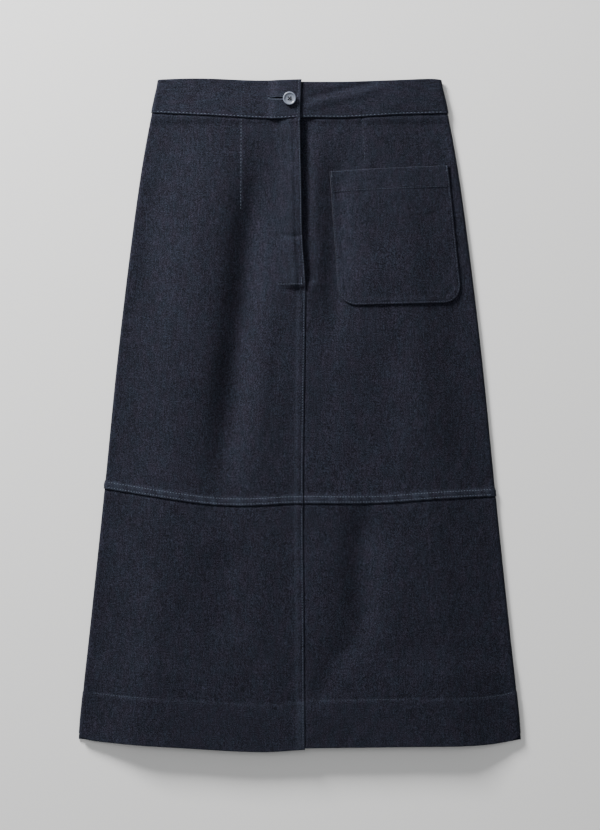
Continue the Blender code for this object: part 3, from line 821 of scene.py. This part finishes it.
def band_left(x, y):
    off = centre_x(y) - x
    over = smoothstep((BAND_LAP - off) / 13.0)
    lift, wear_and_highlight = band_relief(x, y, band_left_line)
    in_hole = smoothstep((x - BUTTONHOLE[0] + 4.0) / 4.0) * smoothstep((BUTTONHOLE[1] + 4.0 - x) / 4.0)
    lips = 0.5 * bell(np.abs(y - BUTTONHOLE_Y) - 2.4, 1.6)
    lift += in_hole * (lips - 0.5 * bell(y - BUTTONHOLE_Y, 1.2))
    gathers = 0.4 * pucker(y - BUTTONHOLE_Y, x, reach=8.0, seed=75, pitch=5.5)
    lift += gathers * smoothstep((50.0 - off) / 10.0)
    lift -= 0.35 * bell(off - BAND_END_ROW, 0.9)
    wear_and_highlight = wear_and_highlight + 0.10 * over * bell(off - 0.7, 1.3) + 0.02 * over
    return -1.0 + 2.6 * over, lift + BAND_LAP_LIFT * over, wear_and_highlight


def band_right(x, y):
    """The right end is pulled into one slanting crease by the button."""
    lift, wear_and_highlight = band_relief(x, y, band_right_line)
    ridge = y - (388.0 + (x - 13.0) * 0.24)
    inside = smoothstep((x - 2.0) / 18.0) * smoothstep((128.0 - x) / 45.0)
    lift += inside * (0.95 * bell(ridge, 5.5) - 0.9 * bell(ridge - 10.0, 4.5))
    lift -= 0.5 * bell(y - 412.0, 1.6) * bell(x - 167.0, 9.0)
    return -1.0 + 0.0 * x, lift, wear_and_highlight


def underlap_end(y):
    return centre_x(y) - 28.0


def cut_out(piece, tool):
    """Take the tool's shape out of the piece, and put the tool away."""
    cut = piece.modifiers.new("cut", "BOOLEAN")
    cut.operation = "DIFFERENCE"
    cut.object = tool
    graph = bpy.context.evaluated_depsgraph_get()
    mesh = bpy.data.meshes.new_from_object(piece.evaluated_get(graph))
    piece.modifiers.clear()
    piece.data = mesh
    bpy.data.objects.remove(tool, do_unlink=True)


waistband_left = front_piece(
    "waistband_front_left_cloth", -1, band_left_line, waist_line, centre_x, (120, 34), band_left,
    denim_band)
waistband_right = front_piece(
    "waistband_front_right_cloth", 1, band_right_line, waist_line, underlap_end, (130, 34), band_right,
    denim_band)
bpy.ops.mesh.primitive_uv_sphere_add(
    segments=32, ring_count=8, radius=1.0, location=(HOLE_MIDDLE * MM, BUTTONHOLE_Y * MM, 0.012))
hole_cutter = bpy.context.object
hole_cutter.scale = (HOLE_HALF * MM, HOLE_OPENING * MM, 0.05)
bpy.context.view_layer.update()
cut_out(waistband_left, hole_cutter)
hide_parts("waistband_front_left")
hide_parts("waistband_front_right")

# ---- Patch pocket ------------
# One piece of denim with its top folded down into a 27 mm band, two round bottom corners, and its
# edges turned under and stitched to the right panel.
POCKET_TOP_LEFT = np.array((37.5, 306.0))
POCKET_TOP_RIGHT = np.array((186.6, 313.8))
POCKET_FOOT_RIGHT = np.array((204.3, 141.0))
POCKET_FOOT_LEFT = np.array((49.5, 137.0))
POCKET_CORNER = 23.0
POCKET_BAND = 27.0
POCKET_ROW = 2.0
POCKET_DROP = float(np.linalg.norm(POCKET_TOP_LEFT - POCKET_FOOT_LEFT))
POCKET_WIDTH = float(np.linalg.norm(POCKET_FOOT_LEFT - POCKET_FOOT_RIGHT))


def pocket_place(across, down):
    """Place on the pocket, as millimetres in from its left edge and down from its top edge."""
    share = down / POCKET_DROP
    left = POCKET_TOP_LEFT + (POCKET_FOOT_LEFT - POCKET_TOP_LEFT) * share[..., None]
    right = POCKET_TOP_RIGHT + (POCKET_FOOT_RIGHT - POCKET_TOP_RIGHT) * share[..., None]
    place = left + (right - left) * (across / POCKET_WIDTH)[..., None]
    return place[..., 0], place[..., 1]


def pocket_edge(across, down):
    """Distance in from the pocket's outline, its round corners too."""
    side = np.minimum(across, POCKET_WIDTH - across)
    foot = POCKET_DROP - down
    corner_side = np.maximum(POCKET_CORNER - side, 0.0)
    corner_foot = np.maximum(POCKET_CORNER - foot, 0.0)
    return np.where((corner_side > 0) & (corner_foot > 0),
                    POCKET_CORNER - np.hypot(corner_side, corner_foot), np.minimum(side, foot))


pocket_share, pocket_offset = stations(90)
down_share, down_offset = stations(100)
down = (down_share * POCKET_DROP + down_offset)[:, None]
past_corner = np.maximum(down - POCKET_DROP + POCKET_CORNER, 0.0)
inset = POCKET_CORNER - np.sqrt(np.maximum(POCKET_CORNER**2 - past_corner**2, 0.0))
across = inset + pocket_share[None, :] * (POCKET_WIDTH - 2.0 * inset)
across = across + pocket_offset[None, :] * (1.0 - inset / POCKET_CORNER)
down = np.broadcast_to(down, across.shape)
POCKET_BASE = 0.45      # the pocket's underside, and its face, above the form that it lies on
POCKET_RISE = 1.6
POCKET_TURN_IN = 8.5    # how wide the allowance is that its edges are turned under by


def pocket_high(across, down):
    """Height of the pocket's face, with its band, its turned edges and the dips of its stitches."""
    edge = pocket_edge(across, down)
    band = smoothstep((POCKET_BAND - down) / 1.4)
    high = POCKET_RISE + 0.9 * band
    high -= STITCH_SINK * bell(edge - POCKET_ROW, STITCH_DIP) * smoothstep((down - 3.0) / 3.0)
    high += 0.45 * smoothstep((POCKET_TURN_IN - edge) / 2.0) * (1.0 - band)
    high -= 0.25 * bell(down - POCKET_BAND - 1.2, 0.9)
    high += 0.25 * pucker(edge - 4.0, across + down, reach=6.0, seed=81, pitch=7.0)
    high += 0.30 * pucker(down - POCKET_BAND, across, reach=8.0, seed=82, pitch=7.0)
    high += 0.8 * bell(edge - 75.0, 55.0) * (1.0 - band)
    high += 0.18 * value_noise(across, down, 16.0, 20.0, 83)
    return high + 0.35 * value_noise(across, down, 40.0, 34.0, 84) * smoothstep(edge / 16.0)


pocket_x, pocket_y = pocket_place(across, down)
pocket_point, pocket_normal = form_frame(1, along_at(1, pocket_x, pocket_y), pocket_y)
outline = np.minimum(np.minimum(pocket_edge(across, down), down), POCKET_CORNER)
fall = edge_turn(np.maximum(outline, 0.0), EDGE_RADIUS)
pocket_wear = 0.05 * bell(outline - 0.6, 1.2) * roped(across + down, 5.0, 85)
pocket_wear += 0.012 * smoothstep((POCKET_BAND - down) / 1.4) + 0.03 * bell(down - POCKET_BAND, 1.4)
pocket_piece = closed_cloth(
    "pocket_cloth", pocket_point + pocket_normal * (POCKET_BASE + 0.2 * fall)[..., None],
    pocket_point + pocket_normal * (pocket_high(across, down) - fall)[..., None], pocket_wear,
    denim_pocket)
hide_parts("pocket")

# ---- Stitching ------------
# Pale grey-blue topstitch thread. Each stitch is a short capsule that dives into the cloth at both
# ends; every row follows its own seam on the face of the piece that it is sewn through.
THREAD_RADIUS = 0.33
THREAD_FINISH = {"Roughness": 0.6, "Specular IOR Level": 0.3}
PLY_SCALE = 800.0
# Rings along one stitch: share of its length, width, and height above the cloth, in thread radii.
STITCH_RINGS = (
    (0.0, 0.35, -0.9), (0.14, 0.9, -0.1), (0.5, 1.0, 0.15), (0.86, 0.9, -0.1), (1.0, 0.35, -0.9),
)
STITCH_SIDES = 6
PROUD = 0.02            # how far a row lies above the face that it is sewn on
TOPSTITCH = (0.112, 0.140, 0.185, 1.0)
QUIET_STITCH = (0.042, 0.053, 0.078, 1.0)


def thread(name, colour):
    """Twisted cotton thread: its plies show as fine slanting bands."""
    material, tree, shader = finished(name, THREAD_FINISH)
    place = tree.nodes.new("ShaderNodeTexCoord")
    ply = tree.nodes.new("ShaderNodeTexWave")
    ply.bands_direction = "DIAGONAL"
    ply.inputs["Scale"].default_value = PLY_SCALE
    tree.links.new(place.outputs["Object"], ply.inputs["Vector"])
    shaded = (*(0.72 * part for part in colour[:3]), 1.0)
    lit = (*(1.2 * part for part in colour[:3]), 1.0)
    tree.links.new(mixed(tree, ply.outputs["Fac"], shaded, lit), shader.inputs["Base Color"])
    return material


def sewn(name, rows, material, pitch, fill=0.76, radius=THREAD_RADIUS, seed=1):
    """Rows of separate stitches, joined in one mesh. Each row is (points, normals) along its seam.

    pitch is the length from stitch to stitch, and fill the share of it that the thread shows for.
    """
    chance = np.random.RandomState(seed)
    starts, ends, ups = [], [], []
    for points, normals in rows:
        run = np.concatenate([[0.0], np.cumsum(np.linalg.norm(np.diff(points, axis=0), axis=1))])
        count = max(int(run[-1] / pitch), 1)
        at = (np.arange(count) + 0.12) * run[-1] / count + chance.uniform(-0.05, 0.05, count) * pitch
        until = at + fill * run[-1] / count
        for places, ends_at in ((starts, at), (ends, until)):
            places.append(np.stack([np.interp(ends_at, run, points[:, k]) for k in range(3)], -1))
        ups.append(np.stack([np.interp(at, run, normals[:, k]) for k in range(3)], -1))
    start, end, up = np.concatenate(starts), np.concatenate(ends), np.concatenate(ups)
    along = end - start
    along /= np.linalg.norm(along, axis=1, keepdims=True)
    sideways = np.cross(up, along)
    sideways /= np.linalg.norm(sideways, axis=1, keepdims=True)
    rings = []
    for share, width, height in STITCH_RINGS:
        middle = start + (end - start) * share + up * radius * height
        for k in range(STITCH_SIDES):
            angle = 2.0 * math.pi * k / STITCH_SIDES
            rings.append(middle + radius * width * (sideways * math.cos(angle) + up * math.sin(angle)))
    points = np.stack(rings, 1)
    total = points.shape[1]
    one_stitch = []
    for ring in range(0, total - STITCH_SIDES, STITCH_SIDES):
        for k in range(STITCH_SIDES):
            here, beside = ring + k, ring + (k + 1) % STITCH_SIDES
            one_stitch.append((here, beside, beside + STITCH_SIDES, here + STITCH_SIDES))
    one_stitch += [tuple(range(STITCH_SIDES))[::-1], tuple(range(total - STITCH_SIDES, total))]
    faces = []
    for base in range(0, len(start) * total, total):
        faces += [tuple(base + v for v in face) for face in one_stitch]
    mesh = bpy.data.meshes.new(name)
    mesh.from_pydata((points.reshape(-1, 3) * MM).tolist(), [], faces)
    mesh.shade_smooth()
    mesh.materials.append(material)
    return on_skirt(name, mesh)


topstitch = thread("topstitch_thread", TOPSTITCH)
quiet_stitch = thread("tonal_thread", QUIET_STITCH)


def across_row(side, lifts, line, offset, x_from, x_to):
    x = np.arange(x_from, x_to, 1.0)
    return on_front(side, lifts, x, line(x) + offset, PROUD)


def down_row(side, lifts, line, offset, y_from, y_to):
    y = np.arange(y_from, y_to, -1.0)
    return on_front(side, lifts, line(y) + offset, y, PROUD)


def level(x):
    return 0.0 * x


sewn("waist_stitches", [
    across_row(-1, band_left, waist_line, BAND_ROW, -180.0, 0.0),
    across_row(1, band_right, waist_line, BAND_ROW, 4.0, 181.0),
], topstitch, 4.6, fill=0.55, radius=0.24, seed=2)
sewn("tier_stitches", [
    across_row(side, lifts, tier_line, row, start, end)
    for side, lifts, start, end in ((-1, upper_left, -241.0, 4.0), (1, upper_right, 6.0, 243.0))
    for row in TIER_ROWS
], topstitch, 3.6, fill=0.42, radius=0.27, seed=3)
sewn("dart_stitches", [
    down_row(-1, upper_left, partial(through, DART_LEFT), 0.1, 372.0, 256.0),
], topstitch, 4.0, fill=0.5, radius=0.22, seed=4)
sewn("right_dart_stitches", [
    down_row(1, upper_right, partial(through, DART_RIGHT), 0.1, 372.0, 312.0),
], quiet_stitch, 4.0, fill=0.4, radius=0.22, seed=12)
sewn("fly_stitches", [
    down_row(-1, upper_left, centre_x, -1.7, 371.0, FLY_END + 1.0),
    across_row(-1, upper_left, level, FLY_END + 0.8, -28.0, 6.0),
], quiet_stitch, 3.2, seed=5)
sewn("centre_stitches", [
    down_row(-1, upper_left, centre_x, -CENTRE_ROW, FLY_END - 4.0, -100.0),
    down_row(-1, lower_left, centre_x, -CENTRE_ROW, -117.0, -417.0),
], quiet_stitch, 3.2, seed=6)
sewn("waistband_end_stitches", [
    down_row(-1, band_left, centre_x, -BAND_END_ROW, 418.0, 376.0),
], quiet_stitch, 3.4, seed=7)
sewn("hem_stitches", [
    across_row(-1, lower_left, hem_left_line, HEM_DEPTH, -268.0, 4.0),
    across_row(1, lower_right, hem_right_line, HEM_DEPTH, 8.0, 269.0),
], quiet_stitch, 3.4, fill=0.6, radius=0.28, seed=8)


def pocket_row(across, down):
    """Points and normals on the pocket's face, for its stitches."""
    x, y = pocket_place(across, down)
    point, normal = form_frame(1, along_at(1, x, y), y)
    return point + normal * (pocket_high(across, down) + PROUD)[..., None], normal


corner_angle = np.radians(np.linspace(0.0, 90.0, 24))
corner_in = POCKET_CORNER - (POCKET_CORNER - POCKET_ROW) * np.cos(corner_angle)
corner_down = POCKET_DROP - POCKET_CORNER + (POCKET_CORNER - POCKET_ROW) * np.sin(corner_angle)
straight = np.arange(1.0, POCKET_DROP - POCKET_CORNER, 1.0)
floor_run = np.arange(POCKET_CORNER, POCKET_WIDTH - POCKET_CORNER, 1.0)
round_across = np.concatenate([
    straight * 0.0 + POCKET_ROW, corner_in, floor_run, POCKET_WIDTH - corner_in[::-1],
    straight * 0.0 + POCKET_WIDTH - POCKET_ROW,
])
round_down = np.concatenate([
    straight, corner_down, floor_run * 0.0 + POCKET_DROP - POCKET_ROW, corner_down[::-1], straight[::-1],
])
band_run = np.arange(2.5, POCKET_WIDTH - 2.5, 1.0)
sewn("pocket_stitches", [
    pocket_row(round_across, round_down), pocket_row(band_run, band_run * 0.0 + POCKET_BAND - 1.4),
], quiet_stitch, 3.2, fill=0.55, radius=0.22, seed=9)


ZIGZAG = 0.38


def fly_tack(x, y, length, width=2.2):
    """A dense zigzag of thread that runs up the skirt, with its middle at x and y."""
    run = np.linspace(-length / 2, length / 2, int(length / ZIGZAG))
    zig = np.where(np.arange(len(run)) % 2, width / 2, -width / 2)
    return on_front(-1, upper_left, x - zig, y + run, 0.12)


def tack_on_pocket(across, down, length):
    run = np.linspace(0.0, length, int(length / ZIGZAG))
    zig = np.where(np.arange(len(run)) % 2, 1.0, -1.0)
    return pocket_row(across + zig, down + run)


sewn("bartacks", [
    tack_on_pocket(POCKET_WIDTH - 2.2, 0.6, 7.0), tack_on_pocket(2.2, 0.6, 7.0),
    fly_tack(2.5, FLY_END + 5.0, 8.0),
], quiet_stitch, 2.0, fill=0.95, radius=0.24, seed=10)

# The buttonhole's edge is bound with close stitches, from its rim outwards, round all but its tip.
hole_run = np.linspace(0.0, 2.0 * math.pi, 120, endpoint=False)
hole_x = HOLE_MIDDLE + HOLE_HALF * np.cos(hole_run)
rim_point, rim_normal = on_front(-1, band_left, hole_x, BUTTONHOLE_Y + 0.75 * np.sin(hole_run), 0.05)
outer_x = hole_x + 1.3 * np.cos(hole_run) ** 9
outer_point, outer_normal = on_front(-1, band_left, outer_x, BUTTONHOLE_Y + 2.6 * np.sin(hole_run), 0.1)
bound = (np.abs(np.sin(hole_run)) > 0.1) | (np.cos(hole_run) < 0)
sewn("buttonhole_stitches", [
    (np.stack([rim_point[k], outer_point[k]]), np.stack([rim_normal[k], outer_normal[k]]))
    for k in np.flatnonzero(bound)
], quiet_stitch, 9.0, fill=0.9, radius=0.26, seed=11)

# ---- Button and its thread ------------
# A four-hole button of pale grey-blue plastic with a raised rim and a dished face, a little tipped,
# sewn with dark thread in a cross. The thread's shank goes down through the buttonhole.
BUTTON_Y = 396.6
BUTTON_TILT = math.radians(8.0)
BUTTON_SEAT_RADIUS = 5.4
BUTTON_STEPS = 72
BUTTON_FINISH = {"Roughness": 0.34, "Coat Weight": 0.15}
BUTTON_SHADE = (0.120, 0.138, 0.185, 1.0)
BUTTON_PALE = (0.200, 0.225, 0.285, 1.0)
HOLE_PITCH = 1.65
HOLE_RADIUS = 0.9
# From the middle of the underside, out over the rim and in over the dished face: radius and height.
BUTTON_PROFILE = (
    (0.0, 0.0), (4.6, 0.0), (5.8, 0.08), (6.9, 0.4), (7.7, 0.95), (8.15, 1.6), (8.2, 2.1), (8.0, 2.6),
    (7.6, 2.92), (7.1, 3.0), (6.6, 2.85), (6.2, 2.5), (5.8, 2.18), (5.2, 2.05), (3.6, 1.95), (0.0, 1.9),
)
button_low, button_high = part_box("button")
button_middle = (np.array(button_low) + np.array(button_high)) / 2.0
seat = float(button_low[2]) / MM + BUTTON_SEAT_RADIUS * math.sin(BUTTON_TILT)
button_place = Matrix.Translation((float(button_middle[0]), BUTTON_Y * MM, seat * MM))
button_place = button_place @ Matrix.Rotation(BUTTON_TILT, 4, "X")

builder = bmesh.new()
verts = [builder.verts.new((radius * MM, 0.0, height * MM)) for radius, height in BUTTON_PROFILE]
edges = [builder.edges.new(pair) for pair in zip(verts, verts[1:])]
bmesh.ops.spin(
    builder, geom=verts + edges, cent=(0, 0, 0), axis=(0, 0, 1), angle=2 * math.pi, steps=BUTTON_STEPS,
    use_merge=True)
bmesh.ops.remove_doubles(builder, verts=builder.verts, dist=0.00001)
bmesh.ops.recalc_face_normals(builder, faces=builder.faces)
button_mesh = bpy.data.meshes.new("button_disc")
builder.to_mesh(button_mesh)
builder.free()
button_piece = on_skirt("button_disc", button_mesh)

hole_places = [(sx * HOLE_PITCH, sy * HOLE_PITCH) for sx in (-1, 1) for sy in (-1, 1)]
drills = bmesh.new()
for x, y in hole_places:
    bmesh.ops.create_cone(
        drills, cap_ends=True, segments=20, radius1=HOLE_RADIUS * MM, radius2=HOLE_RADIUS * MM,
        depth=0.012, matrix=Matrix.Translation((x * MM, y * MM, 0.0)))
drill_mesh = bpy.data.meshes.new("button_drills")
drills.to_mesh(drill_mesh)
drills.free()
drill = bpy.data.objects.new("button_drills", drill_mesh)
bpy.context.scene.collection.objects.link(drill)
cut_out(button_piece, drill)
button_piece.data.transform(button_place)
button_piece.data.shade_smooth()
button_piece.data.set_sharp_from_angle(angle=math.radians(35))

button_plastic, button_tree, button_shader = finished("button_plastic", BUTTON_FINISH)
button_coordinates = button_tree.nodes.new("ShaderNodeTexCoord")
marbling = button_tree.nodes.new("ShaderNodeTexNoise")
marbling.inputs["Scale"].default_value = 260.0
marbling.inputs["Detail"].default_value = 3.0
button_tree.links.new(button_coordinates.outputs["Object"], marbling.inputs["Vector"])
button_colour = mixed(button_tree, marbling.outputs["Fac"], BUTTON_SHADE, BUTTON_PALE)
button_tree.links.new(button_colour, button_shader.inputs["Base Color"])
button_piece.data.materials.clear()
button_piece.data.materials.append(button_plastic)
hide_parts("button")

# Thread: a wound shank, four legs up the holes and a cross over the face, each of several strands.
STRAND_STEPS = 6
SHANK_RADIUS = 0.7
LEG_RADIUS = 0.42
CROSS_RADIUS = 0.46
CROSS_HEIGHT = 2.3
CROSS_SPREAD = 0.24
DARK_THREAD = (0.004, 0.005, 0.009, 1.0)
strands = bmesh.new()


def strand(start, end, radius, sides=8, bow=0.0):
    """A thread from start to end, in the button's own millimetres, bowed up by its middle."""
    start, end = Vector(start), Vector(end)
    turn = (end - start).to_track_quat("Z", "Y").to_matrix()
    rings = []
    for step in range(STRAND_STEPS + 1):
        share = step / STRAND_STEPS
        middle = start.lerp(end, share) + Vector((0.0, 0.0, bow * math.sin(math.pi * share)))
        ring = []
        for k in range(sides):
            angle = 2.0 * math.pi * k / sides
            out = turn @ Vector((radius * math.cos(angle), radius * math.sin(angle), 0.0))
            ring.append(strands.verts.new(button_place @ ((middle + out) * MM)))
        rings.append(ring)
    for low_ring, high_ring in zip(rings, rings[1:]):
        for k in range(sides):
            after = (k + 1) % sides
            strands.faces.new((low_ring[k], low_ring[after], high_ring[after], high_ring[k]))
    strands.faces.new(rings[0][::-1])
    strands.faces.new(rings[-1])


shank_height = seat - float(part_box("button_thread")[0][2]) / MM
shank_foot = (0.0, -shank_height * math.sin(BUTTON_TILT), -shank_height)
strand((0.0, 0.0, -0.4), shank_foot, SHANK_RADIUS, sides=12)
for x, y in hole_places:
    strand((0.0, 0.0, -0.5), (x, y, 0.1), 0.4)
    strand((x, y, 0.0), (x, y, 2.2), LEG_RADIUS)
reach = HOLE_PITCH + 0.1
for side in (-1, 1):
    for shift in (-CROSS_SPREAD, CROSS_SPREAD):
        cross_start = (-reach + shift, -side * reach, CROSS_HEIGHT)
        cross_end = (reach + shift, side * reach, CROSS_HEIGHT)
        strand(cross_start, cross_end, CROSS_RADIUS, bow=0.42 + 0.1 * side)
strand_mesh = bpy.data.meshes.new("button_thread_strands")
strands.to_mesh(strand_mesh)
strands.free()
strand_mesh.shade_smooth()
strand_mesh.materials.append(thread("button_thread_dark", DARK_THREAD))
strand_piece = on_skirt("button_thread_strands", strand_mesh)
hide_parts("button_thread")
